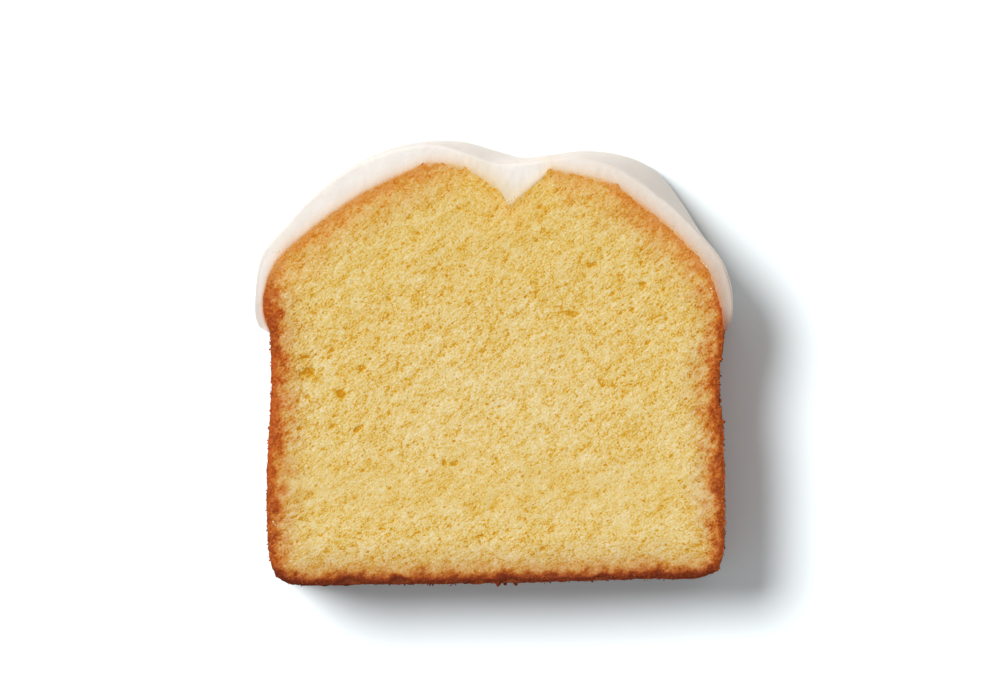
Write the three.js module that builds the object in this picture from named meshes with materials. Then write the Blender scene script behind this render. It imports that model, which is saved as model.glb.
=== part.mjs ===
// A slice of iced pound cake, cut across a tin loaf and lying flat on one of its two cut faces.
// Millimetres, +Z up. X runs across the loaf, and Y from its bottom crust to its icing.
// The origin is the middle of the underside, the cut face that the slice rests on.
import * as THREE from "three";
import { mergeVertices } from "three/addons/utils/BufferGeometryUtils.js";

// Driving sizes
const sliceThickness = 25;
const icingGap = 0.3; // between the icing and the crust that it lies on
const middle = { across: -0.24, up: 50.17 }; // the middle of the whole, in the section's own coordinates

// The loaf's cross-section, anticlockwise from its lower left corner, in stretches that meet at corners.
// A row is [across, up, swell]: across from the middle of the tin, up from the bottom crust,
// and how far the loaf is wider there at the underside than at the upper cut face.
const section = {
  bottomCrust: {
    segments: 44,
    rows: [
      [-49.3, 1.9, 0], [-45.8, 0.3, 0], [-30, 0.1, 0], [-5, 0.4, 0], [20, 1, 0], [36, 1.4, 0], [45.7, 1.7, 0],
      [49.9, 3.2, 0],
    ],
  },
  rightWall: {
    segments: 22,
    rows: [
      [49.9, 3.2, 0], [51.1, 7.5, 0.2], [51.3, 20, 0.3], [51, 35, 0.3], [50.1, 46, 0.3], [51.4, 57.2, 0.4],
    ],
  },
  rightShoulder: {
    segments: 18,
    rows: [
      [51.4, 57.2, 0.4], [50.7, 61.5, 0.7], [47.6, 70.5, 1.4], [39.1, 80.1, 3.6], [30.1, 87.3, 4.2],
      [27.2, 89.6, 3.6],
    ],
  },
  rightLobe: { segments: 6, rows: [[27.2, 89.6, 3.6], [23.4, 90.9, 2.6], [12.3, 93.3, 1.2]] },
  crackRight: { segments: 5, rows: [[12.3, 93.3, 1.2], [7.7, 89.3, 0.4], [3, 85.3, -1]] },
  crackLeft: { segments: 5, rows: [[3, 85.3, -1], [-0.3, 89.3, 0.8], [-6.7, 93.5, 2.6]] },
  leftLobe: { segments: 4, rows: [[-6.7, 93.5, 2.6], [-11.4, 94.4, 1.4], [-15.9, 94.6, 0.9]] },
  leftShoulder: {
    segments: 21,
    rows: [
      [-15.9, 94.6, 0.9], [-30.4, 87.5, 0.9], [-41.6, 79.7, 0.8], [-49.5, 72.1, 0.6], [-52.1, 65.1, 0.4],
      [-52, 60.5, 0.3], [-50.6, 56.4, 0.2],
    ],
  },
  leftWall: {
    segments: 21,
    rows: [
      [-50.6, 56.4, 0.2], [-50.3, 42.7, 0.3], [-51.1, 30.4, 0.2], [-51.3, 15.8, 0.1], [-50.6, 5.7, 0],
      [-49.3, 1.9, 0],
    ],
  },
};

// The outer skin of the icing, from its right lip over the crown to its left lip, in the same rows.
// Each stretch lies over the section's stretch of that name.
const icingSkin = {
  rightShoulder: [
    [52.2, 57.3, 0.4], [53.1, 59.6, 0.5], [53.2, 64.5, 0.8], [50.9, 72, 1.3], [43.5, 80.6, 3.2], [33, 89.9, 5],
    [27, 93.8, 3.8],
  ],
  rightLobe: [[19.5, 96.1, 2.2], [12.5, 96.1, 1.3]],
  crackRight: [[5.5, 95.3, 1.4]],
  crackLeft: [[0.5, 95.2, 2.9], [-7, 97.7, 2.6]],
  leftLobe: [[-14.7, 99.4, 1]],
  leftShoulder: [
    [-26.2, 96.9, 1], [-39, 89, 1], [-46.6, 81.3, 0.8], [-52.5, 73.7, 0.6], [-54.1, 64.5, 0.4],
    [-53.6, 58.9, 0.3], [-52.4, 57.4, 0.3],
  ],
};
const swellCentre = new THREE.Vector3(0, 45, 0); // the loaf widens away from here

// Between the cut faces the icing's two lower edges run up the sides in a soft wave, in mm.
const lipWave = { rise: 1.6, waves: 1.3, stationsUp: 9, stationLength: 2.5 };

// The soft rim of the icing where it was cut: how far it is drawn in, at most this share of the icing's
// thickness, and how far it lies below the cut face.
const icingRim = { inward: 0.45, share: 0.15, below: 0.25 };

// Relief, in mm: the crumb's open grain, the crust's roughness and the pits in the underside.
const grain = { cell: 3.4, depth: 0.5, edgeDrop: 0.35 };
const crustGrain = { cell: 2.6, height: 0.3, stationLength: 2.5 };
const pits = { cell: 5, depth: 1.4, share: 0.45, clearOfMiddle: 10 };

// A hollow in the upper cut face, where a bubble or a tear shows, is [across, up, radius, depth].
const hollows = [
  [-42.8, 47.9, 3, 1], [-34.5, 43.4, 2.4, 1.2], [-30.4, 35.3, 2.6, 1], [-10.6, 27.8, 2.6, 1.1],
  [-0.2, 19.2, 3.4, 1.3], [-19, 57, 3, 0.8], [19, 57.5, 3.2, 1], [33, 67.4, 2.6, 0.9], [43.5, 47, 3, 1],
  [39, 27, 3.4, 0.9], [14, 60, 3, 0.8], [-36, 63, 3.4, 0.8], [-12, 66, 2.6, 0.7], [9, 36, 3.2, 0.7],
  [30, 14, 2.8, 0.8], [9.9, 84, 2.4, 0.6],
];

// The nets: stations round the rim, levels of depth from the upper cut face (0) to the underside (1),
// and cells through the icing. Each cut face is a net of bottomCells by sideCells.
const levels = [0, 0.05, 0.27, 0.5, 0.73, 0.95, 1];
const icingCells = 2;
const stretches = Object.values(section);
const rimCells = stretches.reduce((sum, stretch) => sum + stretch.segments, 0);
const bottomCells = section.bottomCrust.segments;
const sideCells = rimCells / 2 - bottomCells;

const lerp = THREE.MathUtils.lerp;
const smooth = (share) => THREE.MathUtils.smoothstep(share, 0, 1);

// A fixed number from 0 to 1 for each place on a whole-number grid.
function scatter(i, j, seed) {
  const mixed = Math.sin(i * 127.1 + j * 311.7 + seed * 74.7) * 43758.5453;
  return mixed - Math.floor(mixed);
}

// Smooth noise from 0 to 1, over cells of the given size.
function softNoise(x, y, cell, seed) {
  const [i, j] = [Math.floor(x / cell), Math.floor(y / cell)];
  const [u, v] = [smooth(x / cell - i), smooth(y / cell - j)];
  const row = (n) => lerp(scatter(i, j + n, seed), scatter(i + 1, j + n, seed), u);
  return lerp(row(0), row(1), v);
}

// A smooth curve through some rows, at a depth from 0 to 1. The loaf widens fast at first, then less.
function curveThrough(rows, depth) {
  const growth = Math.sin((depth * Math.PI) / 2);
  const points = rows.map(([across, up, swell]) => {
    const point = new THREE.Vector3(across, up, 0);
    const outward = point.clone().sub(swellCentre).normalize();
    return point.addScaledVector(outward, swell * growth);
  });
  return new THREE.CatmullRomCurve3(points, false, "centripetal");
}

// The outward direction of a closed ring of points, at one of them.
function outwardAt(ring, i) {
  const before = ring[(i + ring.length - 1) % ring.length];
  const after = ring[(i + 1) % ring.length];
  return new THREE.Vector3(after.y - before.y, before.x - after.x, 0).normalize();
}

// The loaf's rim at a depth: a closed ring of points, a little rough as its crust is.
function crustRing(depth) {
  const ring = stretches.flatMap(({ rows, segments }) => {
    return curveThrough(rows, depth).getSpacedPoints(segments).slice(0, -1);
  });
  return ring.map((point, i) => {
    const rough = softNoise(i * crustGrain.stationLength, depth * sliceThickness, crustGrain.cell, 3) - 0.5;
    return point.clone().addScaledVector(outwardAt(ring, i), rough * crustGrain.height);
  });
}

// A place between two points of a ring, with the outward direction there.
function onRing(ring, place) {
  const before = Math.floor(place);
  const [a, b] = [before, before + 1].map((i) => i % ring.length);
  return {
    point: ring[a].clone().lerp(ring[b], place - before),
    outward: outwardAt(ring, a).lerp(outwardAt(ring, b), place - before).normalize(),
  };
}

// A point inside a ring, from shares of the way across and up: a Coons patch between its four sides.
function insideRing(ring, across, up) {
  const corners = [0, bottomCells, bottomCells + sideCells, 2 * bottomCells + sideCells];
  const sides = [
    [1 - up, across * bottomCells],
    [up, corners[3] - across * bottomCells],
    [across, corners[1] + up * sideCells],
    [1 - across, rimCells - up * sideCells],
  ];
  const point = new THREE.Vector3();
  for (const [share, place] of sides) {
    point.addScaledVector(onRing(ring, place).point, share);
  }
  const cornerShares = [(1 - across) * (1 - up), across * (1 - up), across * up, (1 - across) * up];
  cornerShares.forEach((share, i) => point.addScaledVector(ring[corners[i]], -share));
  return point;
}

// How far the upper cut face lies below its highest crumbs.
function crumbDepth({ x, y }, atEdge) {
  let depth = grain.depth * lerp(softNoise(x, y, grain.cell, 1), softNoise(x, y, grain.cell / 2, 2), 0.4);
  for (const [across, up, radius, deepest] of hollows) {
    const share = Math.hypot(x - across, y - up) / (1.5 * radius);
    depth += deepest * smooth(1 - share);
  }
  return atEdge ? Math.max(depth, grain.edgeDrop) : depth;
}

// How high the underside lies over a place. Most of it is flat on what it lies on, and all of its middle.
function pitHeight({ x, y }) {
  const fromMiddle = Math.hypot(x - middle.across, y - middle.up);
  const over = softNoise(x, y, pits.cell, 5) - (1 - pits.share);
  return fromMiddle < pits.clearOfMiddle ? 0 : pits.depth * Math.max(0, over);
}

// A box whose faces share their vertices, each moved to the place that shape gives for its shares of the
// box along the three axes. The third share is given as a level of depth.
function mappedBox([first, second], shape) {
  const cells = levels.length - 1;
  const box = new THREE.BoxGeometry(1, 1, 1, first, second, cells);
  box.deleteAttribute("normal");
  box.deleteAttribute("uv");
  const geometry = mergeVertices(box, 1e-5);
  const place = geometry.attributes.position;
  for (let i = 0; i < place.count; i++) {
    const level = Math.round((0.5 - place.getZ(i)) * cells);
    const point = shape(place.getX(i) + 0.5, place.getY(i) + 0.5, level);
    place.setXYZ(i, point.x - middle.across, point.y - middle.up, point.z);
  }
  geometry.computeVertexNormals();
  return geometry;
}

const crustRings = levels.map(crustRing);

function cakeGeometry() {
  return mappedBox([bottomCells, sideCells], (across, up, level) => {
    const point = insideRing(crustRings[level], across, up);
    const atEdge = Math.min(across, 1 - across, up, 1 - up) < 0.001;
    point.z = sliceThickness * (1 - levels[level]);
    if (level === 0) point.z -= crumbDepth(point, atEdge);
    if (level === levels.length - 1 && !atEdge) point.z += pitHeight(point);
    return point;
  });
}

// The icing's outer skin at a depth: one smooth curve, divided as the crust below it is.
function skinPoints(depth) {
  const names = Object.keys(icingSkin);
  const rows = names.flatMap((name) => icingSkin[name]);
  const curve = curveThrough(rows, depth);
  const points = [];
  let start = 0;
  let lastRow = -1;
  for (const name of names) {
    const { segments } = section[name];
    lastRow += icingSkin[name].length;
    const end = lastRow / (rows.length - 1);
    for (let n = 0; n < segments; n++) {
      points.push(curve.getPoint(lerp(start, end, n / segments)));
    }
    start = end;
  }
  return [...points, curve.getPoint(1)];
}

function icingGeometry() {
  const firstStation = bottomCells + section.rightWall.segments;
  const skins = levels.map(skinPoints);
  const stations = skins[0].length - 1;
  return mappedBox([stations, icingCells], (along, below, level) => {
    const depth = levels[level];
    const station = Math.round(along * stations);
    const rise = (lipWave.rise * (1 - Math.cos(2 * Math.PI * lipWave.waves * depth))) / 2;
    const rightLip = smooth(1 - station / lipWave.stationsUp);
    const leftLip = smooth(1 - (stations - station) / lipWave.stationsUp);
    const shift = ((rightLip - leftLip) * rise) / lipWave.stationLength;
    const { point: inner, outward } = onRing(crustRings[level], firstStation + station + shift);
    inner.addScaledVector(outward, icingGap);
    const outer = skins[level][station].clone();
    outer.y += rise * (rightLip + leftLip);
    inner.z = sliceThickness * (1 - depth);
    outer.z = inner.z;
    if (level === 0 || level === levels.length - 1) {
      outer.lerp(inner, Math.min(icingRim.share, icingRim.inward / outer.distanceTo(inner)));
      outer.z += level === 0 ? -icingRim.below : icingRim.below;
    }
    return outer.lerp(inner, below);
  });
}

function piece(name, geometry, material) {
  const mesh = new THREE.Mesh(geometry, material);
  mesh.name = name;
  return mesh;
}

const crumb = new THREE.MeshStandardMaterial({ color: 0xe2bd72, roughness: 0.9, metalness: 0 });
const glaze = new THREE.MeshStandardMaterial({ color: 0xf6eee6, roughness: 0.4, metalness: 0 });

const slice = new THREE.Group();
slice.add(piece("cake_slice", cakeGeometry(), crumb));
slice.add(piece("icing", icingGeometry(), glaze));

export default slice;
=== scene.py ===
import math

import bmesh
import bpy
import numpy as np
from mathutils import Euler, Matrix, Vector, kdtree, noise
from mathutils.bvhtree import BVHTree


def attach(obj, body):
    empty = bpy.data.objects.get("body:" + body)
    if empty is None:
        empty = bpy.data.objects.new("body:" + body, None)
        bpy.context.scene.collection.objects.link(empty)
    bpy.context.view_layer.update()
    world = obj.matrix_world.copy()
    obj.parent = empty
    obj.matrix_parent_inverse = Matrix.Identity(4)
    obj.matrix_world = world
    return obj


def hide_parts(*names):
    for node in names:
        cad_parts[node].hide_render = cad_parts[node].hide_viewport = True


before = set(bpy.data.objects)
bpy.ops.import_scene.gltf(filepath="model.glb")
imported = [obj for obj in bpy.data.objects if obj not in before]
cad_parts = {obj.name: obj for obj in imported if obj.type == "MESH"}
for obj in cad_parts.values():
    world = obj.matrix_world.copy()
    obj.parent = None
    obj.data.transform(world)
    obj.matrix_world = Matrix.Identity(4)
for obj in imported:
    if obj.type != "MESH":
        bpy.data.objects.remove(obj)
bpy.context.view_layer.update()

mm = 0.001

# Section rows are [across, up, swell] in mm: across from the middle of the tin, up from the bottom
# crust, and how far the loaf is wider there at the underside than at the upper cut face.
loaf = {
    "thickness": 25.0,
    "middle": (-0.24, 50.17),  # taken from every place in the section
    "swellCentre": (0.0, 45.0),
    "section": [  # name, segments, rows
        ("bottomCrust", 44, [
            (-49.3, 1.9, 0), (-45.8, 0.3, 0), (-30, 0.1, 0), (-5, 0.4, 0), (20, 1, 0), (36, 1.4, 0),
            (45.7, 1.7, 0), (49.9, 3.2, 0)]),
        ("rightWall", 22, [
            (49.9, 3.2, 0), (51.1, 7.5, 0.2), (51.3, 20, 0.3), (51, 35, 0.3), (50.1, 46, 0.3),
            (51.4, 57.2, 0.4)]),
        ("rightShoulder", 18, [
            (51.4, 57.2, 0.4), (50.7, 61.5, 0.7), (47.6, 70.5, 1.4), (39.1, 80.1, 3.6), (30.1, 87.3, 4.2),
            (27.2, 89.6, 3.6)]),
        ("rightLobe", 6, [(27.2, 89.6, 3.6), (23.4, 90.9, 2.6), (12.3, 93.3, 1.2)]),
        ("crackRight", 5, [(12.3, 93.3, 1.2), (7.7, 89.3, 0.4), (3, 85.3, -1)]),
        ("crackLeft", 5, [(3, 85.3, -1), (-0.3, 89.3, 0.8), (-6.7, 93.5, 2.6)]),
        ("leftLobe", 4, [(-6.7, 93.5, 2.6), (-11.4, 94.4, 1.4), (-15.9, 94.6, 0.9)]),
        ("leftShoulder", 21, [
            (-15.9, 94.6, 0.9), (-30.4, 87.5, 0.9), (-41.6, 79.7, 0.8), (-49.5, 72.1, 0.6),
            (-52.1, 65.1, 0.4), (-52, 60.5, 0.3), (-50.6, 56.4, 0.2)]),
        ("leftWall", 21, [
            (-50.6, 56.4, 0.2), (-50.3, 42.7, 0.3), (-51.1, 30.4, 0.2), (-51.3, 15.8, 0.1),
            (-50.6, 5.7, 0), (-49.3, 1.9, 0)]),
    ],
}
pointsPerSegment = 16
segmentsOf = {name: segments for name, segments, _ in loaf["section"]}
rimSegments = sum(segmentsOf.values())
bottomSegments = segmentsOf["bottomCrust"]  # and as many over the top
sideSegments = rimSegments // 2 - bottomSegments
firstIcedSegment = bottomSegments + segmentsOf["rightWall"]
icedSegments = rimSegments - firstIcedSegment - segmentsOf["leftWall"]


def curveAt(rows, places):
    # points of a smooth curve through rows, at places counted in rows
    rows = np.asarray(rows, float)
    rows = np.vstack([2 * rows[0] - rows[1], rows, 2 * rows[-1] - rows[-2]])
    gaps = np.linalg.norm(np.diff(rows[:, :2], axis=0), axis=1) ** 0.5
    first = np.clip(np.floor(places).astype(int), 0, len(rows) - 4)
    t = (places - first)[:, None]
    a, b, c = (gaps[first + n][:, None] for n in range(3))
    before, start, end, after = (rows[first + n] for n in range(4))
    leave = ((start - before) / a - (end - before) / (a + b) + (end - start) / b) * b
    arrive = ((end - start) / b - (after - start) / (b + c) + (after - end) / c) * b
    return (
        (2 * t**3 - 3 * t**2 + 1) * start + (t**3 - 2 * t**2 + t) * leave
        + (3 * t**2 - 2 * t**3) * end + (t**3 - t**2) * arrive)


def swollen(rows, growth):
    # rows moved out from the middle of the loaf by their swell
    rows = np.asarray(rows, float)
    outward = rows[:, :2] - loaf["swellCentre"]
    outward /= np.linalg.norm(outward, axis=1)[:, None]
    return rows[:, :2] + outward * rows[:, 2:] * growth


def evenly(rows, count):
    # count points spaced evenly along the curve, its last point left out
    fine = curveAt(rows, np.linspace(0, len(rows) - 1, 40 * len(rows)))
    along = np.concatenate([[0], np.cumsum(np.linalg.norm(np.diff(fine, axis=0), axis=1))])
    wanted = np.linspace(0, along[-1], count + 1)[:-1]
    return np.stack([np.interp(wanted, along, fine[:, n]) for n in range(2)], axis=1)


def crustRing(growth):
    stretches = [
        evenly(swollen(rows, growth), segments * pointsPerSegment) for _, segments, rows in loaf["section"]]
    return np.vstack(stretches) - loaf["middle"]


def onRing(ring, place):
    # the point at a place counted in segments
    spot = np.asarray(place, float) * pointsPerSegment
    first = np.floor(spot).astype(int)
    share = (spot - first)[..., None]
    return ring[first % len(ring)] * (1 - share) + ring[(first + 1) % len(ring)] * share


def outwardOnRing(ring, place):
    ahead = onRing(ring, np.asarray(place) + 0.4) - onRing(ring, np.asarray(place) - 0.4)
    outward = np.stack([ahead[:, 1], -ahead[:, 0]], axis=1)
    return outward / np.linalg.norm(outward, axis=1)[:, None]


def insideRing(ring, across, up):
    # a Coons patch between the four sides of the ring
    corners = [0, bottomSegments, bottomSegments + sideSegments, 2 * bottomSegments + sideSegments]
    sides = (
        (1 - up, across * bottomSegments), (up, corners[3] - across * bottomSegments),
        (across, corners[1] + up * sideSegments), (1 - across, rimSegments - up * sideSegments))
    point = sum(share[:, None] * onRing(ring, place) for share, place in sides)
    shares = ((1 - across) * (1 - up), across * (1 - up), across * up, (1 - across) * up)
    for share, corner in zip(shares, corners):
        point = point - share[:, None] * onRing(ring, corner)
    return point


def placeOnRim(across, up):
    # for a place on the edge of the unit square, its place on the ring in segments
    place = across * bottomSegments
    place = np.where(across > 1 - 1e-6, bottomSegments + up * sideSegments, place)
    place = np.where(up > 1 - 1e-6, 2 * bottomSegments + sideSegments - across * bottomSegments, place)
    return np.where((across < 1e-6) & (up > 1e-6), rimSegments - up * sideSegments, place)


upperRing = crustRing(0)
lowerRing = crustRing(1)


def smoothStep(low, high, value):
    share = np.clip((np.asarray(value, float) - low) / (high - low), 0, 1)
    return share * share * (3 - 2 * share)


def noiseOver(points, size, seed, turn=0.0, octaves=1):
    # smooth noise of about -1 to 1; size is one cell in mm, or one for each axis after the turn
    size = np.ones(3) * size
    c, s = math.cos(math.radians(turn)), math.sin(math.radians(turn))
    x, y = points[:, 0] * c + points[:, 1] * s, points[:, 1] * c - points[:, 0] * s
    spots = np.stack([x / size[0] + seed * 17.3, y / size[1] - seed * 9.1, points[:, 2] / size[2]], axis=1)
    total = np.zeros(len(points))
    for octave in range(octaves):
        total += np.array([noise.noise(spot) for spot in spots * 2**octave]) / 2**octave
    return total


def boxOf(cells):
    # a unit cube divided into cells along its three axes
    bm = bmesh.new()
    bmesh.ops.create_cube(bm, size=1)
    for axis, count in enumerate(cells):
        along = [e for e in bm.edges if abs((e.verts[0].co - e.verts[1].co)[axis]) > 1e-6]
        bmesh.ops.subdivide_edges(bm, edges=along, cuts=count - 1, use_grid_fill=True)
    return bm


def sharesOf(bm):
    bm.verts.ensure_lookup_table()
    return np.array([v.co for v in bm.verts]) + 0.5


def addNumbers(mesh, numbers):
    # named numbers for the materials, one for each vertex
    for key, values in numbers.items():
        mesh.attributes.new(key, "FLOAT", "POINT").data.foreach_set("value", values.astype(np.float32))


def asPiece(name, bm, places, material, numbers):
    # finishes a bmesh with its vertices at places, in mm
    for v, place in zip(bm.verts, places):
        v.co = Vector(place) * mm
    mesh = bpy.data.meshes.new(name)
    bm.to_mesh(mesh)
    bm.free()
    addNumbers(mesh, numbers)
    return dressed(mesh, material)


def dressed(mesh, material):
    mesh.polygons.foreach_set("use_smooth", [True] * len(mesh.polygons))
    mesh.materials.append(material)
    piece = bpy.data.objects.new(mesh.name, mesh)
    bpy.context.scene.collection.objects.link(piece)
    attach(piece, "root")
    print(mesh.name, len(mesh.polygons), "faces")
    return piece


def asCrumbs(name, bits, material, seed):
    # many uneven little lumps in one mesh; a bit is its place, its half sizes in mm and its numbers
    chance = np.random.default_rng(seed)
    bm = bmesh.new()
    bmesh.ops.create_icosphere(bm, subdivisions=1, radius=1)
    corners = np.array([v.co for v in bm.verts])
    faces = np.array([[v.index for v in f.verts] for f in bm.faces])
    bm.free()
    lumps = []
    for place, sizes, _ in bits:
        turn = np.array(Euler(chance.uniform(0, 6.28, 3)).to_matrix())
        uneven = corners * chance.uniform(0.75, 1.2, (len(corners), 1))
        lump = np.array(place) + (uneven * sizes) @ turn.T
        lump[:, 2] += min(0, loaf["thickness"] - lump[:, 2].max())
        lumps.append(lump)
    mesh = bpy.data.meshes.new(name)
    shifts = np.arange(len(bits))[:, None, None] * len(corners)
    mesh.from_pydata(np.vstack(lumps) * mm, [], (faces + shifts).reshape(-1, 3).tolist())
    addNumbers(mesh, {
        key: np.repeat([numbers[key] for _, _, numbers in bits], len(corners)) for key in bits[0][2]})
    return dressed(mesh, material)


class Wire:
    # an output of a node, with sums on it written as plain Python
    def __init__(self, finish, socket):
        self.finish = finish
        self.socket = socket

    def sum(self, operation, *values, clamp=False):
        return self.finish.node(
            "ShaderNodeMath", {"operation": operation, "use_clamp": clamp}, dict(enumerate(values)))

    def __add__(self, other):
        return self.sum("ADD", self, other)

    def __sub__(self, other):
        return self.sum("SUBTRACT", self, other)

    def __rsub__(self, other):
        return self.sum("SUBTRACT", other, self)

    def __mul__(self, other):
        return self.sum("MULTIPLY", self, other)

    __radd__ = __add__
    __rmul__ = __mul__

    def clamped(self):
        return self.sum("ADD", self, 0.0, clamp=True)

    def rise(self, low, high):
        # 0 below low, 1 above high, smooth between
        return self.finish.node(
            "ShaderNodeMapRange", {"interpolation_type": "SMOOTHSTEP"}, {0: self, 1: low, 2: high})


class Finish:
    def __init__(self, name):
        self.material = bpy.data.materials.new(name)
        self.material.use_nodes = True
        self.tree = self.material.node_tree
        self.shader = self.tree.nodes["Principled BSDF"]

    def node(self, kind, settings, values, out=0):
        made = self.tree.nodes.new(kind)
        for key, value in settings.items():
            if key == "stops":
                ramp = made.color_ramp
                while len(ramp.elements) < len(value):
                    ramp.elements.new(0.5)
                for element, (position, colour) in zip(ramp.elements, value):
                    element.position = position
                    element.color = (*colour, 1.0)
            else:
                setattr(made, key, value)
        for key, value in values.items():
            self.plug(made.inputs[key], value)
        return Wire(self, made.outputs[out])

    def plug(self, socket, value):
        if isinstance(value, Wire):
            self.tree.links.new(value.socket, socket)
        elif socket.type == "RGBA":
            socket.default_value = (*value, 1.0)
        else:
            socket.default_value = value

    def set(self, **values):
        for key, value in values.items():
            self.plug(self.shader.inputs[key.replace("_", " ")], value)

    def places(self):
        # Object coordinates in mm
        here = self.node("ShaderNodeTexCoord", {}, {}, out="Object")
        return self.node("ShaderNodeVectorMath", {"operation": "SCALE"}, {0: here, "Scale": 1000.0})

    def attribute(self, name):
        return self.node("ShaderNodeAttribute", {"attribute_name": name}, {}, out="Fac")

    def grain(self, places, size, turn=0.0, detail=2.0, rough=0.5):
        # noise of 0 to 1 with cells of size mm, one for each axis after the turn about Z
        size = size if isinstance(size, tuple) else (size,) * 3
        turned = self.node(
            "ShaderNodeMapping", {"vector_type": "TEXTURE"},
            {"Vector": places, "Rotation": (0, 0, math.radians(turn)), "Scale": size})
        return self.node(
            "ShaderNodeTexNoise", {}, {"Vector": turned, "Scale": 1.0, "Detail": detail, "Roughness": rough},
            out="Fac")

    def spots(self, places, size, turn, spread, least):
        # round spots of many sizes, one to a cell at most; spread and least are in cells
        turned = self.node(
            "ShaderNodeMapping", {"vector_type": "TEXTURE"},
            {"Vector": places, "Rotation": (0, 0, math.radians(turn)), "Scale": size})
        away = self.node("ShaderNodeTexVoronoi", {}, {"Vector": turned, "Scale": 1.0}, out="Distance")
        chance = self.node("ShaderNodeTexVoronoi", {}, {"Vector": turned, "Scale": 1.0}, out="Color")
        lot = self.node("ShaderNodeSeparateColor", {}, {0: chance}, out=0)
        ragged = self.grain(places, 0.3, detail=0) - 0.5
        return (spread * lot - least - away + 0.35 * ragged).rise(-0.02, 0.08)

    def ramp(self, value, stops):
        # a stop is its position and its colour
        return self.node("ShaderNodeValToRGB", {"stops": stops}, {"Fac": value}, out="Color")

    def blend(self, share, a, b, way="MIX"):
        return self.node(
            "ShaderNodeMix", {"data_type": "RGBA", "blend_type": way, "clamp_factor": True},
            {0: share, 6: a, 7: b}, out=2)

    def layer(self, share, under, over):
        # one shader over another
        both = self.node("ShaderNodeMixShader", {}, {0: share, 1: under, 2: over})
        self.plug(self.tree.nodes["Material Output"].inputs["Surface"], both)

    def bump(self, height, depth, under=None):
        # height of 0 to 1 over a depth in mm
        values = {"Height": height, "Distance": depth * mm, "Strength": 1.0}
        if under:
            values["Normal"] = under
        return self.node("ShaderNodeBump", {}, values)


fullLight = 1.33  # how bright a white cut face is under the lights below


def tone(red, green, blue, light=fullLight):
    # base colour of what is to look like this 8-bit colour when fully lit
    return tuple(((c / 255 + 0.055) / 1.055) ** 2.4 / light for c in (red, green, blue))


crumbLook = {
    "cells": (132, 116, 24),  # across, up and through the slice; the upper cut face is twice as fine
    "light": 1.23,  # the crumb lies a little in its own shade
    "middle": (227, 194, 118),  # its colour away from the crust
    # the upper cut face, in mm
    "belowTop": 0.2,  # how far it lies below the top of the slice
    "rimDrop": 0.3,  # how much lower its edge is, where it isn't iced
    "edgeRise": 0.07,  # how much higher its edge is beside the icing
    "undulation": 0.14,
    "lumps": 0.06,
    "fineGrain": 0.02,
    "poreCell": 1.9,
    "poreDepth": 0.14,
    "tearDepth": 0.2,
    # the crust and the underside, in mm
    "crustGrain": 0.34,
    "crustUndulation": 0.18,
    "crustPits": 0.3,
    "crustStandsOut": 0.26,  # at most, where it is bare
    "undersidePits": 0.9,
    # where its edge stands out into the icing: [place on the rim and half width in segments, mm]
    "points": [(84, 0.5, 0.5), (90.2, 0.45, 0.5), (100.1, 0.4, 0.4), (102.3, 0.35, 0.5), (104.2, 0.7, 0.4)],
}

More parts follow.
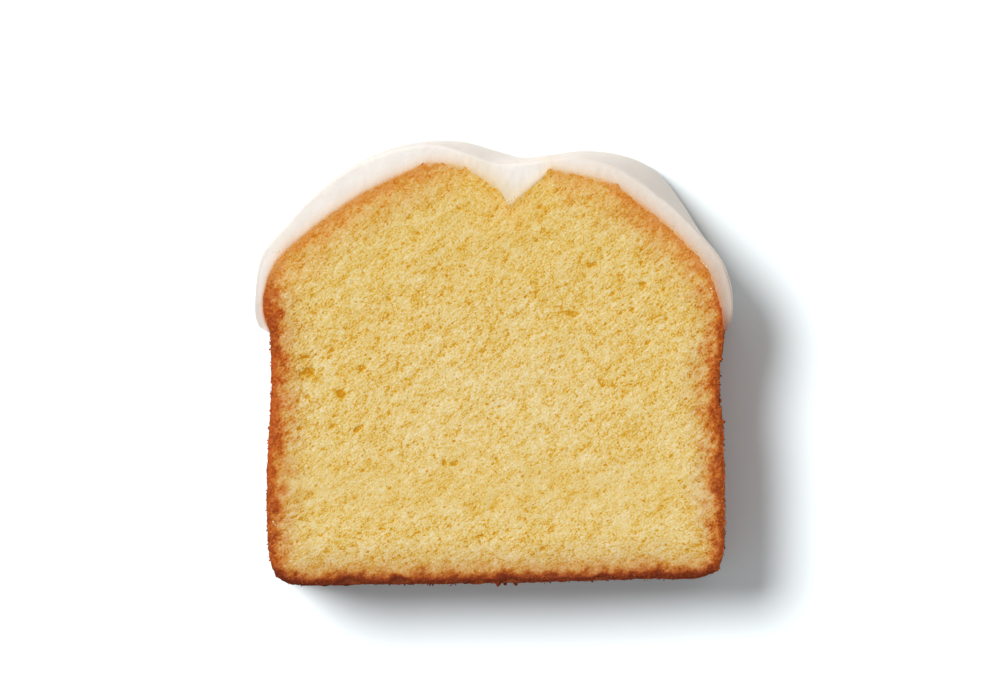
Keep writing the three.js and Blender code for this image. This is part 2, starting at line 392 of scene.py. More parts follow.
# Where bubbles and tears show in the cut face: [x, y, half length, half width, turn in degrees, share of
# the full depth].
tears = [
    (-34.5, -7.0, 1.2, 1.0, 0, 0.9), (-42.3, -2.5, 1.8, 1.2, 10, 0.95), (-36.3, 2.7, 0.9, 0.7, 20, 0.6),
    (-42.3, 1.1, 1.3, 0.4, 5, 0.8), (-30.0, -1.4, 1.2, 0.8, 30, 0.9), (-38.5, 0.9, 0.9, 0.35, -20, 0.8),
    (-44.1, -9.1, 0.35, 0.8, 0, 0.9), (-35.3, -2.9, 0.8, 0.5, 0, 0.8), (-36.5, -14.4, 1.3, 0.5, 40, 0.6),
    (-44.1, -15.0, 0.8, 0.6, 0, 0.7), (-40.7, -2.9, 0.6, 0.35, -30, 1.3),
    (-21.9, 5.6, 0.6, 0.5, 0, 0.6), (-26.2, 5.2, 0.6, 0.5, 0, 0.6), (-41.9, -7.8, 0.6, 0.5, 0, 1.0),
    (-30.5, -15.0, 1.4, 0.6, 38, 0.9), (-11.4, -22.7, 0.5, 1.0, 0, 0.9), (-8.9, -22.7, 1.1, 0.7, 20, 0.8),
    (-5.3, -25.8, 0.5, 0.5, 0, 0.6), (-0.1, -31.9, 1.4, 2.6, -20, 0.45), (9.0, -32.6, 0.9, 0.5, 15, 0.7),
    (8.4, -29.2, 0.5, 0.4, 0, 0.5), (7.9, -33.9, 0.8, 0.4, 35, 0.5), (-2.8, -39.1, 0.6, 0.5, 0, 0.6),
    (2.8, -38.0, 0.6, 0.5, 0, 0.6), (5.7, -37.5, 0.5, 0.4, 0, 0.5), (24.1, 23.5, 0.7, 0.6, 0, 0.7),
    (21.8, 21.7, 1.2, 0.6, 25, 0.8), (19.1, 22.4, 0.8, 0.6, 10, 0.7), (17.6, 20.6, 0.7, 0.4, 15, 0.5),
    (28.6, 21.3, 0.6, 0.5, 0, 0.7), (33.3, 17.2, 0.9, 1.4, -15, 1.0), (36.2, 20.4, 0.6, 0.6, 0, 0.6),
    (36.6, 15.4, 0.5, 0.5, 0, 0.6), (37.7, 16.1, 0.4, 0.4, 0, 0.6), (30.8, 11.8, 0.55, 0.55, 0, 0.8),
    (17.6, 10.7, 1.4, 0.7, 10, 0.8), (17.1, 12.5, 0.5, 0.4, 0, 0.6), (18.5, 5.1, 0.4, 0.5, 0, 0.6),
    (20.7, 8.5, 0.5, 0.4, 0, 0.5), (22.3, 5.8, 0.7, 0.3, 20, 0.6), (38.4, 9.6, 0.7, 0.6, 0, 0.6),
    (35.9, 5.8, 0.6, 0.4, 20, 0.6), (34.4, 4.4, 1.2, 0.45, 30, 0.7), (-39.4, -38.9, 0.6, 0.4, 0, 0.7),
    (-30.8, -42.7, 0.8, 0.35, 10, 0.9), (-42.1, -35.2, 0.6, 0.5, 0, 0.6), (42.7, -30.8, 0.5, 0.3, 0, 0.6),
    (46.0, -32.6, 0.5, 0.5, 0, 0.6), (43.3, -42.4, 0.7, 0.6, 0, 0.7), (38.0, -35.2, 0.4, 0.4, 0, 0.6),
    (10.2, 34.9, 1.0, 0.5, 30, 0.7), (-12.3, -41.1, 0.6, 0.4, 0, 0.6), (-21.2, -26.6, 0.7, 0.5, 20, 0.6),
    (10.6, -42.0, 0.9, 0.6, 10, 0.8), (13.7, 30.9, 0.9, 0.4, 30, 0.5), (-3.0, 25.2, 0.8, 0.3, 35, 0.5),
    (-14.0, 18.4, 0.9, 0.35, 30, 0.5),
]

# How hard the crust is baked at places on the rim, counted in segments: 0 in the crack to 1 at the bottom.
bakedAt = [
    (0, 1), (43, 1), (46, 0.86), (54, 0.84), (60, 0.78), (66, 0.78), (69, 0.62), (72, 0.54), (76, 0.53),
    (82.5, 0.53), (84.5, 0.34), (86, 0.24), (89.5, 0.2), (91, 0.05), (95, 0.02), (99, 0.05), (101, 0.16),
    (103.5, 0.36), (108, 0.4), (113, 0.33), (117, 0.4), (121, 0.6), (124, 0.79), (126, 0.8), (129, 0.67),
    (134, 0.65), (139, 0.8), (144, 0.84), (146, 1)]

# Where the crust reaches deeper into the slice, or less deep: [x, y, radius, how much deeper], in mm.
toasted = [
    (-32.7, -49, 4, 1.2), (-21.4, -49, 3, 1.2), (4, -49, 3, 0.7), (24.5, -49, 3, 1), (-51, 9.8, 6, 1.2),
    (-47.6, 11.2, 2.4, 2.6), (50.2, 6.7, 4, 0.8), (46, 9.5, 6, -2), (-48, -44, 1, 0.8)]


def crumbRelief(places):
    # how far the crumb of the upper cut face stands up, in mm, and how far into a pore it is, 0 to 1
    flatter = smoothStep(-20, -38, places[:, 1])
    leaning = noiseOver(places, (2.6, 1.15, 9), 1, turn=27)
    lying = noiseOver(places, (1.7, 1.2, 9), 2, turn=6)
    height = crumbLook["lumps"] * (leaning * (1 - flatter) + lying * flatter)
    height += crumbLook["undulation"] * noiseOver(places, (11, 7, 9), 3, turn=25)
    height += crumbLook["fineGrain"] * noiseOver(places, 0.8, 4)
    pores = np.zeros(len(places))
    for cell, seed, share in ((crumbLook["poreCell"], 5, 0.55), (0.55 * crumbLook["poreCell"], 6, 0.4)):
        for i, place in enumerate(places):
            near, spots = noise.voronoi(Vector((place[0] / cell / 1.25, place[1] / cell, seed)))
            lot = (spots[0].x * 7.13 + spots[0].y * 3.71) % 1
            if lot < share:
                radius = 0.1 + 0.3 * lot / share
                pores[i] = max(pores[i], (1 - near[0] / radius) * (0.5 + radius))
    pores = np.clip(pores, 0, 1)
    depth = crumbLook["poreDepth"] * smoothStep(0, 0.6, pores)
    for x, y, long, wide, turn, deep in tears:
        c, s = math.cos(math.radians(turn)), math.sin(math.radians(turn))
        dx, dy = places[:, 0] - x, places[:, 1] - y
        away = np.hypot((dx * c + dy * s) / long, (dy * c - dx * s) / wide)
        near = away < 2
        ragged = away[near] + 0.7 * noiseOver(places[near], 0.9, 8)
        dip = smoothStep(1.45, 0.3, ragged)
        depth[near] = np.maximum(depth[near], crumbLook["tearDepth"] * deep * dip)
        pores[near] = np.maximum(pores[near], dip * min(1, deep))
    return height - depth, pores


def crustMeasures(places, ring):
    # each place's distance from the rim, and the nearest place on the rim in segments
    tree = kdtree.KDTree(len(ring))
    for i, point in enumerate(ring):
        tree.insert((point[0], point[1], 0), i)
    tree.balance()
    found = [tree.find((x, y, 0)) for x, y, _ in places]
    distance = np.array([f[2] for f in found])
    segment = np.array([f[1] for f in found]) / pointsPerSegment
    return distance, segment


def makeCake(material):
    bm = boxOf(crumbLook["cells"])
    upper = {e for f in bm.faces if f.calc_center_median().z > 0.4999 for e in f.edges}
    bmesh.ops.subdivide_edges(bm, edges=list(upper), cuts=1, use_grid_fill=True)
    shares = sharesOf(bm)
    across, up, level = shares[:, 0], shares[:, 1], 1 - shares[:, 2]
    level = 0.4 * level + 0.3 * (1 - np.cos(math.pi * level))  # finer towards the two rims
    growth = np.sin(level * math.pi / 2)[:, None]
    flat = insideRing(upperRing, across, up) * (1 - growth) + insideRing(lowerRing, across, up) * growth
    places = np.column_stack([flat, loaf["thickness"] * (1 - level)])

    onRim = np.minimum.reduce([across, 1 - across, up, 1 - up]) < 1e-6
    isTop = level < 1e-6
    isBase = level > 1 - 1e-6
    distance = np.zeros(len(places))
    segment = np.zeros(len(places))
    for chosen, ring in ((isTop, upperRing), (isBase, lowerRing), (~isTop & ~isBase, upperRing)):
        distance[chosen], segment[chosen] = crustMeasures(places[chosen], ring)
    distance[onRim] = 0
    for x, y, radius, deeper in toasted:
        away = np.hypot(places[:, 0] - x, places[:, 1] - y)
        distance = np.maximum(0, distance - deeper * smoothStep(radius, 0, away))
    baked = np.interp(segment, *zip(*bakedAt))
    lastIced = firstIcedSegment + icedSegments
    iced = smoothStep(firstIcedSegment - 1, firstIcedSegment + 2, segment)
    iced *= smoothStep(lastIced + 1, lastIced - 2, segment)
    torn = smoothStep(82, 86, segment) * smoothStep(112, 103, segment)  # the lobes beside the crack

    # the crust: rough all round, a little crumbly where it was cut
    rim = np.nonzero(onRim)[0]
    rimPlace = placeOnRim(across, up)[rim]
    rough = crumbLook["crustGrain"] * noiseOver(places[rim], (1.2, 1.2, 2.2), 11)
    rough += crumbLook["crustUndulation"] * noiseOver(places[rim], 6, 12)
    rough -= crumbLook["crustPits"] * smoothStep(0.25, 0.7, noiseOver(places[rim], 1.9, 13))
    rough = np.minimum(rough, crumbLook["crustStandsOut"])
    ragged = 0.34 * noiseOver(places[rim], 2.3, 15) + 0.2 * noiseOver(places[rim], 0.9, 16)
    cut = smoothStep(1.2, 0, loaf["thickness"] * np.minimum(level, 1 - level))[rim]
    rough += cut * (iced[rim] * (0.5 + torn[rim]) * ragged - 0.05)
    rough = np.where(iced[rim] > 0, np.maximum(rough, -0.1), rough)  # no gap opens beside the icing
    for spot, halfWidth, out in crumbLook["points"]:
        rough += cut * out * np.clip(1 - abs(rimPlace - spot) / halfWidth, 0, 1)
    places[rim, :2] += outwardOnRing(upperRing, rimPlace) * rough[:, None]

    pores = np.zeros(len(places))
    relief, topPores = crumbRelief(places[isTop])
    toRim = smoothStep(1.4 - 0.7 * iced[isTop], 0, distance[isTop])
    underIcing = iced[isTop] * smoothStep(1.8, 0.4, distance[isTop])  # it meets the icing in a ragged line
    broken = 0.6 * noiseOver(places[isTop], 1.5, 17) + 0.4 * noiseOver(places[isTop], 0.7, 18)
    drop = crumbLook["rimDrop"] * (1 - 0.9 * iced[isTop])
    relief = relief * (1 - 0.4 * toRim) * (1 - 0.7 * underIcing) - drop * toRim**2
    relief += underIcing * (crumbLook["edgeRise"] + (0.1 + 0.12 * torn[isTop]) * broken)
    for spot, halfWidth, _ in crumbLook["points"]:
        relief += 0.1 * underIcing * smoothStep(halfWidth, 0, abs(segment[isTop] - spot))
    places[isTop, 2] += np.minimum(relief - crumbLook["belowTop"], -0.02)
    pores[isTop] = topPores * (1 - toRim)

    meeting = onRim & isTop & (iced > 0.5)  # a crisp edge where the icing meets the cut face
    for edge in bm.edges:
        edge.smooth = not all(meeting[v.index] for v in edge.verts)

    inBase = isBase & ~onRim
    pits = noiseOver(places[inBase], 2.2, 21, octaves=2)
    pitDepth = crumbLook["undersidePits"] * smoothStep(0.05, 0.7, pits)
    places[inBase, 2] += pitDepth
    pores[inBase] = smoothStep(0.3, 0.9, pits) * 0.6
    print("crumb shaped")
    return asPiece("cake", bm, places, material, {
        "crustDistance": distance, "baked": baked, "pores": pores})


def crumbFinish():
    finish = Finish("bakedCrumb")
    here = finish.places()
    distance = finish.attribute("crustDistance")
    baked = finish.attribute("baked")
    pores = finish.attribute("pores")
    fleck = finish.attribute("fleck")

    # open crumb: light passes through it, so the shade in its hollows is painted a deeper yellow, not darker
    light = crumbLook["light"]
    height = finish.node("ShaderNodeSeparateXYZ", {}, {0: here}, out=1)
    flatter = 1 - height.rise(-38.0, -18.0)  # its grain leans, and lies flat near the bottom

    def grained(spot, long, wide):
        leaning = finish.grain(spot, (long, wide, wide), turn=42, detail=1)
        lying = finish.grain(spot, (long, wide, wide), turn=24, detail=1)
        return leaning + flatter * (lying - leaning)

    # painted light and shade: the sides of its grains that face the light are painted paler, the far sides
    # darker, and the deeper it lies, the yellower it is painted
    towardLight = finish.node("ShaderNodeVectorMath", {"operation": "ADD"}, {0: here, 1: (-0.17, 0.1, 0.0)})
    broad = finish.grain(here, (5.0, 2.6, 4.0), turn=34, detail=1)
    clumps = grained(here, 1.5, 1.05)
    fine = grained(here, 0.52, 0.46)
    # painted light and shade from each grain's slope towards the light
    paintedGrainLight = 0.26 * (clumps - grained(towardLight, 1.5, 1.05)) + 0.06 * (fine - grained(towardLight, 0.52, 0.46))
    bubbles = finish.spots(here, (1.8, 1.2, 1.5), 38, 0.34, 0.08)
    pinholes = finish.spots(here, (1.3, 0.65, 0.8), 34, 0.62, 0.2)
    holeShade = (pores + 0.9 * (fine - 0.5)).rise(0.3, 0.6)
    holeShade = (0.9 * holeShade + bubbles + 0.38 * pinholes).clamped()
    nearRim = (1 - distance.rise(1.5, 7.0)) * baked.rise(0.1, 0.5)
    creviceShade = (1 - 0.6 * clumps - 0.4 * fine).rise(0.56, 0.7)
    finest = finish.grain(here, 0.24, detail=0)
    mixed = 0.2 * broad + 0.23 * clumps + 0.38 * fine + 0.24 * finest + paintedGrainLight
    # painted shade in holes and crevices: darker, a deeper yellow
    mixed = mixed - 0.532 - 0.18 * holeShade - 0.05 * creviceShade
    mixed = mixed * (1 - 0.15 * nearRim) * (1 - 0.2 * height.rise(0.0, 40.0))
    mixed = mixed + 0.497 - 0.019 * height.rise(-25.0, 46.0) + 0.026 * distance.rise(20.0, 44.0)
    crumbColour = finish.ramp(mixed, [(spot, tone(*colour, light)) for spot, colour in [
        (0.28, (200, 135, 14)), (0.36, (210, 158, 40)), (0.42, (217, 177, 78)), (0.46, (221, 188, 103)),
        (0.5, (224, 196, 126)), (0.55, (227, 204, 144)), (0.6, (230, 211, 161)), (0.68, (235, 220, 186))]])

    # crust: what it does to the crumb's colour over 10 mm from the rim, for rising strengths of baking
    wander = (
        7.0 * (finish.grain(here, 3.2, detail=1) - 0.5) + 4.0 * (clumps - 0.5) + 2.5 * (fine - 0.5))
    wander = wander * distance.rise(0.0, 1.8) * (1 - 0.55 * baked.rise(0.84, 0.98))
    inward = (distance + wander) * 0.1
    coats = [
        (None, [(0.0, (229, 182, 98)), (0.1, (230, 188, 104)), (0.5, (229, 192, 112))]),
        ((0.04, 0.2), [(0.0, (223, 160, 80)), (0.2, (224, 171, 92)), (0.45, (226, 182, 104))]),
        ((0.22, 0.36), [(0.0, (219, 148, 76)), (0.12, (219, 148, 70)), (0.24, (222, 163, 85)),
                        (0.4, (223, 176, 101)), (0.7, (224, 184, 108))]),
        ((0.48, 0.68), [(0.0, (176, 78, 26)), (0.1, (184, 86, 28)), (0.17, (194, 100, 34)),
                        (0.24, (204, 124, 50)), (0.36, (211, 152, 78)), (0.6, (218, 180, 108))]),
        ((0.74, 0.84), [(0.0, (150, 64, 24)), (0.08, (164, 74, 26)), (0.15, (186, 96, 34)),
                        (0.24, (202, 124, 52)), (0.36, (211, 155, 84)), (0.6, (220, 183, 114))]),
        ((0.88, 1.0), [(0.0, (80, 26, 13)), (0.07, (104, 35, 17)), (0.13, (142, 60, 26)),
                       (0.21, (182, 102, 38)), (0.31, (205, 148, 75)), (0.55, (216, 180, 111))]),
    ]
    middle = crumbLook["middle"]
    for limits, colours in coats:
        coat = finish.ramp(inward, [
            (spot, [a / b for a, b in zip(tone(*colour), tone(*middle))])
            for spot, colour in colours + [(1.0, middle)]])
        crustTint = finish.blend(baked.rise(*limits), crustTint, coat) if limits else coat
    crustCover = (1 - inward.rise(0.1, 0.32)) * baked.rise(0.1, 0.6)
    mottle = finish.grain(here, 0.62, detail=2, rough=0.65)
    patches = finish.grain(here, (5.0, 5.0, 7.0), detail=2)
    onWall = 1 - distance.rise(0.0, 0.15)
    colour = finish.blend(1.0, crumbColour, crustTint, "MULTIPLY")
    dark = crustCover * baked.rise(0.36, 0.66) * (1 - mottle).rise(0.52, 0.66)
    colour = finish.blend(dark * 0.6, colour, (0.22, 0.045, 0.008))
    veins = crustCover * baked.rise(0.55, 0.72) * (1 - clumps).rise(0.5, 0.68)
    colour = finish.blend(veins * 0.35, colour, (0.17, 0.03, 0.006))
    colour = finish.blend(
        crustCover * (1 - 0.6 * baked.rise(0.8, 1.0)) * mottle.rise(0.54, 0.66) * 0.55, colour,
        tone(222, 136, 50))
    bottom = onWall * baked.rise(0.86, 1.0)
    colour = finish.blend(bottom * 0.5, colour, tone(114, 50, 26))
    wallTone = finish.blend(bottom, tone(190, 110, 48), tone(142, 72, 37))
    colour = finish.blend(onWall * patches.rise(0.34, 0.7) * 0.5, colour, wallTone)
    # pale loose crumbs, painted paler as well to stand in for glints
    colour = finish.blend(fleck * distance.rise(1.0, 8.0), colour, tone(246, 229, 180, light))

    normal = finish.bump(0.42 * fine + 0.58 * clumps, 0.05)
    crumb = finish.node("ShaderNodeBsdfPrincipled", {}, {
        "Base Color": colour, "Roughness": 0.8, "Normal": normal, "Specular IOR Level": 0.12,
        "Subsurface Weight": 0.3, "Subsurface Radius": (1.0, 0.7, 0.4), "Subsurface Scale": 0.0006})
    crust = finish.node("ShaderNodeBsdfPrincipled", {}, {
        "Base Color": colour, "Roughness": 0.75, "Normal": finish.bump(mottle, 0.2, under=normal),
        "Specular IOR Level": 0.08})
    finish.layer((crustCover.rise(0.3, 0.8) + 20.0 * fleck).clamped(), crumb, crust)
    return finish.material


icingLook = {
    "cells": (420, 14, 26),  # along, inwards and through the slice
    # in mm
    "belowTop": 0.12,  # how far its cut face lies below the top of the slice
    "intoCrust": 0.9,
    "rimRadius": 0.4,
    "crownRadius": 0.9,  # how much rounder it is over the crown
    "lean": 0.7,  # how much lower its cut face is at the skin than at the crust, towards the right
    "rightLipLean": 0.6,  # and how much more at each lip
    "leftLipLean": 0.35,
    "lipRise": 1.6,
    "softness": 0.16,
    "segmentLength": 2.5,  # about
    "lipWaves": 1.3,  # through the slice
    "lipSegments": 9,
    # small peaks on its cut face, in mm: [x, y, half size along y, half size along x]
    "peaks": [(-5.7, 44.5, 1.6, 0.6), (-4.4, 44.2, 1.3, 0.5), (-5.0, 43.2, 0.8, 0.5)],
    # where it runs over the crumb's edge: [place on the rim and half width in segments, mm]
    "runsOver": [
        (85.6, 1.3, 0.6), (88.6, 0.5, 0.3), (99.2, 0.7, 0.4), (101.6, 0.5, 0.5), (103.6, 0.6, 0.7)],
}
icingSkin = [  # the outer skin from the right lip over the crown to the left lip: [segment, section row]
    (0, (52.2, 57.3, 0.4)), (1, (53.1, 59.6, 0.5)), (3, (53.2, 64.5, 0.7)), (6, (51.1, 72, 0.6)),
    (8.6, (46.6, 78, 0.9)), (11.9, (40.4, 84.3, 3)), (15.9, (33.2, 89.9, 4.9)), (18, (27, 93.8, 3.8)),
    (21.5, (19.5, 96.1, 2.2)), (24, (12.5, 96.1, 1.3)), (29, (5.5, 95.3, 1.4)), (31.5, (0.5, 95.2, 2.9)),
    (34, (-7, 97.7, 2.6)), (38, (-14.7, 99.4, 1)), (41, (-26.2, 96.9, 1)), (46.4, (-39, 89, 1)),
    (50, (-46.6, 81.3, 0.8)), (53, (-52.5, 73.7, 0.6)), (55.7, (-54.1, 64.5, 0.4)),
    (57.8, (-53.8, 59.6, 0.3)), (59, (-53.1, 58, 0.3)),
]


def skinAt(segment, growth):
    # the icing's outer skin, at a place counted in segments from its right end
    segments, rows = zip(*icingSkin)
    row = np.interp(segment, segments, range(len(rows)))
    upper = curveAt(swollen(rows, 0), row)
    lower = curveAt(swollen(rows, 1), row)
    return upper * (1 - growth) + lower * growth - loaf["middle"]


def makeIcing(material):
    bm = boxOf(icingLook["cells"])
    shares = sharesOf(bm)
    along, inward, level = shares[:, 0], shares[:, 1], 1 - shares[:, 2]
    level = (1 - np.cos(math.pi * level)) / 2  # finer towards the edges
    inward = 0.35 * inward + 0.65 * (1 - np.cos(math.pi * inward)) / 2
    growth = np.sin(level * math.pi / 2)[:, None]
    segment = along * icedSegments
    rise = icingLook["lipRise"] * (1 - np.cos(2 * math.pi * icingLook["lipWaves"] * level)) / 2
    rightLip = smoothStep(icingLook["lipSegments"], 0, segment)
    leftLip = smoothStep(icedSegments - icingLook["lipSegments"], icedSegments, segment)
    place = firstIcedSegment + segment + (rightLip - leftLip) * rise / icingLook["segmentLength"]
    inner = onRing(upperRing, place) * (1 - growth) + onRing(lowerRing, place) * growth
    outward = outwardOnRing(upperRing, place)
    tuckedIn = icingLook["intoCrust"] * (1 - 0.8 * np.maximum(rightLip, leftLip) ** 2)
    inner = inner - outward * tuckedIn[:, None]
    outer = skinAt(segment, growth)
    outer[:, 1] += rise * (rightLip + leftLip)

    thickness = np.linalg.norm(outer - inner, axis=1)
    below = inward * thickness  # from the skin
    fromCut = loaf["thickness"] * np.minimum(level, 1 - level)
    overCrown = smoothStep(21, 26, segment) * smoothStep(45, 37, segment)
    radius = np.minimum(icingLook["rimRadius"] + icingLook["crownRadius"] * overCrown, 0.45 * thickness)
    onSkin = inward < 1e-6
    onCut = fromCut < 1e-6
    angle = np.where(
        onSkin, math.pi / 4 * (1 - np.minimum(fromCut / radius, 1)),
        math.pi / 4 * (1 + np.minimum(below / radius, 1)))
    rounded = (onSkin & (fromCut < radius)) | (onCut & (below < radius))
    drawnIn = np.where(rounded, radius * (1 - np.cos(angle)), below)
    fromCut = np.where(rounded, radius * (1 - np.sin(angle)), fromCut)
    flat = outer + (inner - outer) * (drawnIn / np.maximum(thickness, 1e-6))[:, None]
    height = np.where(level < 0.5, loaf["thickness"] - icingLook["belowTop"] - fromCut, fromCut)
    # the cut face leans away from the crust towards the right lip, and less towards the left one
    lean = icingLook["lean"] * smoothStep(34, 16, segment)
    lean += icingLook["rightLipLean"] * smoothStep(13, 0, segment)
    lean += icingLook["leftLipLean"] * smoothStep(50, icedSegments, segment)
    upperPart = smoothStep(0.35, 0, level)
    toCrust = thickness - below - tuckedIn
    height -= upperPart * lean * np.clip(toCrust / (thickness - tuckedIn), 0, 1) ** 1.2
    places = np.column_stack([flat, height])

    # soft waves in the skin and in the cut face
    soft = icingLook["softness"]
    wave = noiseOver(places, (9, 9, 12), 31) + 0.4 * noiseOver(places, 3.5, 32)
    room = np.minimum(1, thickness / 2)  # thin icing waves less
    places[onSkin, :2] += (outward * (soft * wave * room - 0.5 * soft)[:, None])[onSkin]
    top = level < 1e-6
    dips = 0.1 * noiseOver(places[top], 5, 33) + 0.05 * noiseOver(places[top], 1.3, 34)
    for x, y, halfUp, halfAcross in icingLook["peaks"]:
        away = np.hypot((places[top, 0] - x) / halfAcross, (places[top, 1] - y) / halfUp)
        dips += 0.2 * smoothStep(1, 0, away)
    places[top, 2] += np.minimum(dips, 0.1) * smoothStep(0, 1.2, toCrust[top])
    spread = 0.5 * noiseOver(places[top], 1.9, 35) + 0.34 * noiseOver(places[top], 0.8, 36)
    for spot, halfWidth, over in icingLook["runsOver"]:
        spread += over * smoothStep(halfWidth, 0, abs(place[top] - spot))
    places[top, 2] -= 0.32 * smoothStep(0, -0.75, toCrust[top] + np.clip(spread, -0.15, 0.8))
    places[top, 2] -= 0.3 * smoothStep(0, -0.5, toCrust[top]) * np.maximum(rightLip, leftLip)[top]
    baked = np.interp(place, *zip(*bakedAt))
    print("icing shaped")
    return asPiece("icingCoat", bm, places, material, {
        "toCrust": toCrust, "thick": thickness, "baked": baked})


def icingFinish():
    finish = Finish("setIcing")
    here = finish.places()
    toCrust = finish.attribute("toCrust")
    thick = finish.attribute("thick")
    across, height, level = (
        finish.node("ShaderNodeSeparateXYZ", {}, {0: here}, out=axis) for axis in range(3))
    baked = finish.attribute("baked")
    cloud = finish.grain(here, 4.0, detail=3)
    fine = finish.grain(here, 0.5, detail=2)
    colour = finish.ramp(cloud, [(0.3, tone(246, 239, 231)), (0.7, tone(250, 245, 238))])
    skin = 1 - level.rise(23.8, 24.6)
    colour = finish.blend(skin * 0.8, colour, tone(246, 228, 213))
    # painted shade: the skin is darker low down, towards the floor
    colour = finish.blend((1 - level.rise(1.0, 9.0)) * 0.4, colour, tone(216, 197, 180))
    leftLip = 1 - across.rise(-54.5, -48.0)
    # painted shade along the outer edge of the cut face, where it rounds away, and more on the left lip
    outerEdgeShade = 1 - (thick - toCrust).rise(1.0, 1.7)
    colour = finish.blend(outerEdgeShade * (1 - skin) * (0.5 + 0.5 * leftLip), colour, tone(226, 216, 209))
    # the crust shows through near it and where the icing is thin; down the right side, turned from the
    # light, it is painted darker as shade
    grains = finish.grain(here, 0.34, detail=1)
    filling = 1 - (height + 0.4 * across).rise(36.5, 45.5)  # creamier down in the crack
    filling = filling * (1 - baked.rise(0.06, 0.34)) * (1 - skin)
    colour = finish.blend(filling * (0.6 + 0.5 * grains), colour, tone(238, 220, 188))
    # painted shade, more and more down the right side, less on the skin
    rightSideShade = finish.ramp((across - 8.0) * 0.022, [(spot, (share,) * 3) for spot, share in [
        (0.0, 0.0), (0.42, 0.33), (0.6, 0.4), (0.8, 0.46), (0.98, 0.85)]])
    rightShadeTone = finish.ramp(rightSideShade, [(0.6, tone(218, 202, 184)), (0.85, tone(212, 190, 172))])
    colour = finish.blend(rightSideShade * (1 - 0.55 * skin) * (1.1 - 0.4 * toCrust.rise(1.0, 5.0)), colour, rightShadeTone)
    colour = finish.blend((1 - skin) * grains.rise(0.56, 0.72) * 0.3, colour, tone(250, 245, 237))
    # the thin right lip: crust showing through, and painted shade where it faces away from the light
    thinShadedLip = (1 - thick.rise(1.6, 3.4)) * across.rise(40.0, 50.0)
    colour = finish.blend(thinShadedLip * 0.52, colour, tone(170, 128, 110))
    # painted shade on the left lip, more towards its lower end
    colour = finish.blend(leftLip * (0.66 - 0.34 * height.rise(9.0, 21.0)), colour, tone(206, 197, 189))
    reach = 0.7 + 0.3 * baked.rise(0.02, 0.2) + 0.7 * baked.rise(0.5, 0.85)
    reach = reach + leftLip * (0.3 + 0.9 * height.rise(5.0, 17.0))
    near = (toCrust * reach + 1.1 * (grains - 0.5)) * 0.25
    shows = finish.ramp(near, [(spot, (share,) * 3) for spot, share in [
        (0.0, 0.92), (0.03, 0.84), (0.085, 0.68), (0.14, 0.55), (0.25, 0.38), (0.45, 0.2), (0.7, 0.07),
        (0.9, 0.0)]])
    # painted shade: the crust seen through it is darker down the right side
    crustTone = finish.ramp(baked + 0.14 * across.rise(42.0, 51.0), [(spot, tone(*rgb)) for spot, rgb in [
        (0.0, (232, 198, 138)), (0.1, (228, 184, 116)), (0.4, (225, 162, 84)), (0.6, (219, 160, 94)),
        (0.8, (204, 130, 78)), (0.94, (160, 84, 46))]])
    colour = finish.blend(shows, colour, crustTone)
    normal = finish.bump(0.7 * finish.grain(here, 2.2, detail=2) + 0.3 * fine, 0.14)
    looks = {
        "Base Color": colour, "Roughness": 0.42 + 0.12 * fine, "Normal": normal, "Specular IOR Level": 0.3}
    edge = finish.node("ShaderNodeBsdfPrincipled", {}, looks)
    body = finish.node("ShaderNodeBsdfPrincipled", {}, looks | {
        "Subsurface Weight": 0.5, "Subsurface Radius": (1.0, 0.8, 0.6), "Subsurface Scale": 0.0012})
    finish.layer(toCrust.rise(1.2, 4.0), edge, body)
    return finish.material


fleckLook = {
    "count": 2400,
    "smallest": 0.09,  # half sizes in mm
    "largest": 0.19,
    "sunk": 0.45,  # of the half size
    "area": ((-52, 52), (-50, 44)),  # x and y, in mm
    "lowest": 23.5,  # none is put where the crumb is lower than this
    "paleHeight": 24.86,  # of the middles of the pale bits below
    "stuckHeight": 24.94,  # and of the stuck ones
}

# Pale crumbs that stand out, painted paler also to stand in for glints, and browned ones that stick to the
# icing: [x, y, half size].
paleBits = [
    (2.9, 36.0, 0.24), (3.6, 36.3, 0.2), (4.3, 36.8, 0.17), (3.2, 35.4, 0.15), (5.0, 37.5, 0.13),
    (46.9, 22.0, 0.2), (47.5, 21.3, 0.17), (48.5, 16.4, 0.22), (48.8, 15.7, 0.17), (46.4, 17.0, 0.15),
    (47.2, 16.2, 0.13), (-49.6, -35.9, 0.2), (-49.2, -36.6, 0.16), (-11.7, 37.2, 0.15), (23.9, 33.2, 0.16)]
stuckBits = [
    (-49.0, 24.4, 0.13), (-48.3, 24.7, 0.13), (-47.5, 24.8, 0.15), (-49.8, 24.6, 0.1), (-48.8, 22.9, 0.13),
    (-49.5, 22.3, 0.09), (-45.6, 28.2, 0.1), (-47.8, 24.0, 0.09), (45.3, 24.6, 0.12), (40.1, 30.4, 0.11)]


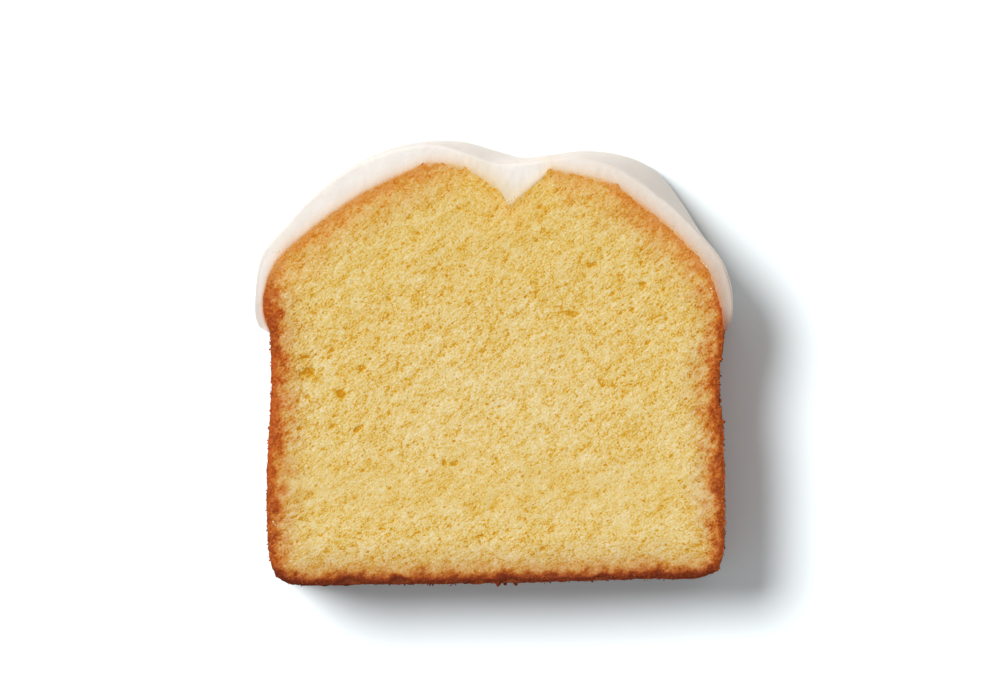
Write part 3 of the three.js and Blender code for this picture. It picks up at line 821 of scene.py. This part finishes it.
def makeFlecks(cake):
    # pale loose crumbs on the cut face; their paleness is partly a painted highlight, standing in for glints
    chance = np.random.default_rng(11)
    tree = BVHTree.FromPolygons(
        [v.co / mm for v in cake.data.vertices], [p.vertices[:] for p in cake.data.polygons])
    kinds = {key: cake.data.attributes[key].data for key in ("crustDistance", "baked")}
    bits = []
    while len(bits) < fleckLook["count"]:
        x, y = (chance.uniform(*limits) for limits in fleckLook["area"])
        hit, normal, face, _ = tree.ray_cast(Vector((x, y, 30)), Vector((0, 0, -1)))
        if hit is None or hit.z < fleckLook["lowest"]:
            continue
        size = chance.uniform(fleckLook["smallest"], fleckLook["largest"])
        size *= 1.5 if chance.random() < 0.05 else 1
        corner = cake.data.polygons[face].vertices[0]
        numbers = {key: data[corner].value for key, data in kinds.items()}
        numbers["fleck"] = chance.random() ** 1.2
        bits.append((hit - normal * size * fleckLook["sunk"], size * chance.uniform(0.6, 1.4, 3), numbers))
    pale = {"crustDistance": 9.0, "baked": 0.0, "fleck": 1.0}
    stuck = {"crustDistance": 3.0, "baked": 0.3, "fleck": 0.1}
    for x, y, size in paleBits:
        bits.append(((x, y, fleckLook["paleHeight"]), (size, 1.3 * size, size), pale))
    for x, y, size in stuckBits:
        bits.append(((x, y, fleckLook["stuckHeight"]), (size, size, 0.6 * size), stuck))
    return asCrumbs("crumbFlecks", bits, cake.data.materials[0], 12)


grainLook = {
    "count": 900,
    "smallest": 0.1,  # half sizes in mm
    "largest": 0.26,
    "sunk": 0.6,  # of the half size
    "below": 6.5,  # y, just short of the icing's lips
    "levels": (0.8, 24.5),  # the lowest and the highest, in mm
    "onBottomCrust": 0.3,  # how thickly they lie there, against 1 on the sides
    "hangingAt": 23.9,  # the height of the hanging crumbs
}

# Crumbs that hang from the crust: [x, y, half sizes]; each is put on the wall near there.
hanging = [
    (1.2, -50.2, (0.9, 0.7, 0.7)), (4.6, -50.0, (0.7, 0.6, 0.6)), (2.0, -50.1, (0.5, 0.5, 0.5)),
    (50.8, 0.4, (0.5, 0.5, 0.5)), (51.1, -8.4, (0.6, 0.6, 0.5)), (50.9, -13.4, (0.45, 0.6, 0.4)),
    (-50.9, -15.1, (0.6, 0.5, 0.5)), (-51, -19.4, (0.5, 0.5, 0.5)), (-51, -11, (0.4, 0.5, 0.4)),
]


def makeGrains(cake):
    # grains that stand out of the bare crust
    chance = np.random.default_rng(21)
    mesh = cake.data
    middles, normals = np.zeros((2, 3 * len(mesh.polygons)))
    areas = np.zeros(len(mesh.polygons))
    mesh.polygons.foreach_get("center", middles)
    mesh.polygons.foreach_get("normal", normals)
    mesh.polygons.foreach_get("area", areas)
    middles, normals = middles.reshape(-1, 3) / mm, normals.reshape(-1, 3)
    onWall = (abs(normals[:, 2]) < 0.6) & (np.hypot(middles[:, 0] / 50, middles[:, 1] / 46) > 0.9)
    lowest, highest = grainLook["levels"]
    onWall &= (middles[:, 1] < grainLook["below"]) & (middles[:, 2] > lowest) & (middles[:, 2] < highest)
    share = areas * onWall * (0.4 + smoothStep(12, 24, middles[:, 2]))
    share *= np.where(normals[:, 1] < -0.4, grainLook["onBottomCrust"], 1)

    def bakedOf(face):
        return mesh.attributes["baked"].data[mesh.polygons[face].vertices[0]].value

    bits = []
    for face in chance.choice(len(share), grainLook["count"], p=share / share.sum()):
        size = grainLook["smallest"]
        size += chance.random() ** 2 * (grainLook["largest"] - grainLook["smallest"])
        place = middles[face] + chance.uniform(-0.4, 0.4, 3) - normals[face] * size * grainLook["sunk"]
        bits.append((place, size * chance.uniform(0.7, 1.3, 3), {
            "crustDistance": 0.5 * chance.random(), "baked": bakedOf(face), "fleck": 0.0}))
    for x, y, sizes in hanging:
        away = np.linalg.norm(middles - (x, y, grainLook["hangingAt"]), axis=1) + 100 * ~onWall
        face = int(np.argmin(away))
        place = middles[face] + normals[face] * 0.1 * min(sizes)
        bits.append((place, sizes, {"crustDistance": 0.6, "baked": bakedOf(face), "fleck": 0.0}))
    return asCrumbs("crustGrains", bits, mesh.materials[0], 22)


stageLook = {
    "floorTone": (0.875, 0.935, 0.955),
    "floorSize": 3,  # m, from its middle to each side
    "floorDrop": 0.0002,  # m, below the slice
    "toLight": (-17.1, 10.2, 25.0),  # a direction
    "lightWidth": 28.0,  # degrees
    "sunStrength": 3.68,
    "skyStrength": 0.41,
    "cameraHeight": 1.425,  # m
    "cameraAt": (0.0003, 0.0053),  # m, straight over the slice
    "lens": 226.6,  # mm
}


def makeStage():
    bm = bmesh.new()
    bmesh.ops.create_grid(bm, x_segments=1, y_segments=1, size=stageLook["floorSize"])
    mesh = bpy.data.meshes.new("floor")
    bm.to_mesh(mesh)
    bm.free()
    finish = Finish("paleFloor")
    finish.set(Base_Color=stageLook["floorTone"], Roughness=0.9, Specular_IOR_Level=0.1)
    mesh.materials.append(finish.material)
    floor = bpy.data.objects.new("floor", mesh)
    floor.location.z = -stageLook["floorDrop"]
    bpy.context.scene.collection.objects.link(floor)

    sun = bpy.data.lights.new("softKey", "SUN")
    sun.energy = stageLook["sunStrength"]
    sun.angle = math.radians(stageLook["lightWidth"])
    sunObject = bpy.data.objects.new("softKey", sun)
    sunObject.rotation_euler = Vector(stageLook["toLight"]).to_track_quat("Z", "Y").to_euler()
    bpy.context.scene.collection.objects.link(sunObject)

    world = bpy.data.worlds.new("studio")
    world.use_nodes = True
    world.node_tree.nodes["Background"].inputs["Color"].default_value = (1, 1, 1, 1)
    world.node_tree.nodes["Background"].inputs["Strength"].default_value = stageLook["skyStrength"]
    bpy.context.scene.world = world

    lens = bpy.data.cameras.new("overhead")
    lens.lens = stageLook["lens"]
    lens.sensor_width = 36
    lens.clip_end = 20
    camera = bpy.data.objects.new("overhead", lens)
    camera.location = (*stageLook["cameraAt"], stageLook["cameraHeight"])
    bpy.context.scene.collection.objects.link(camera)
    bpy.context.scene.camera = camera
    bpy.context.scene.view_settings.view_transform = "Standard"
    bpy.context.scene.view_settings.look = "None"
    print("stage set")


cake = makeCake(crumbFinish())
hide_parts("cake_slice")
icing = makeIcing(icingFinish())
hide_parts("icing")
makeFlecks(cake)
makeGrains(cake)
makeStage()
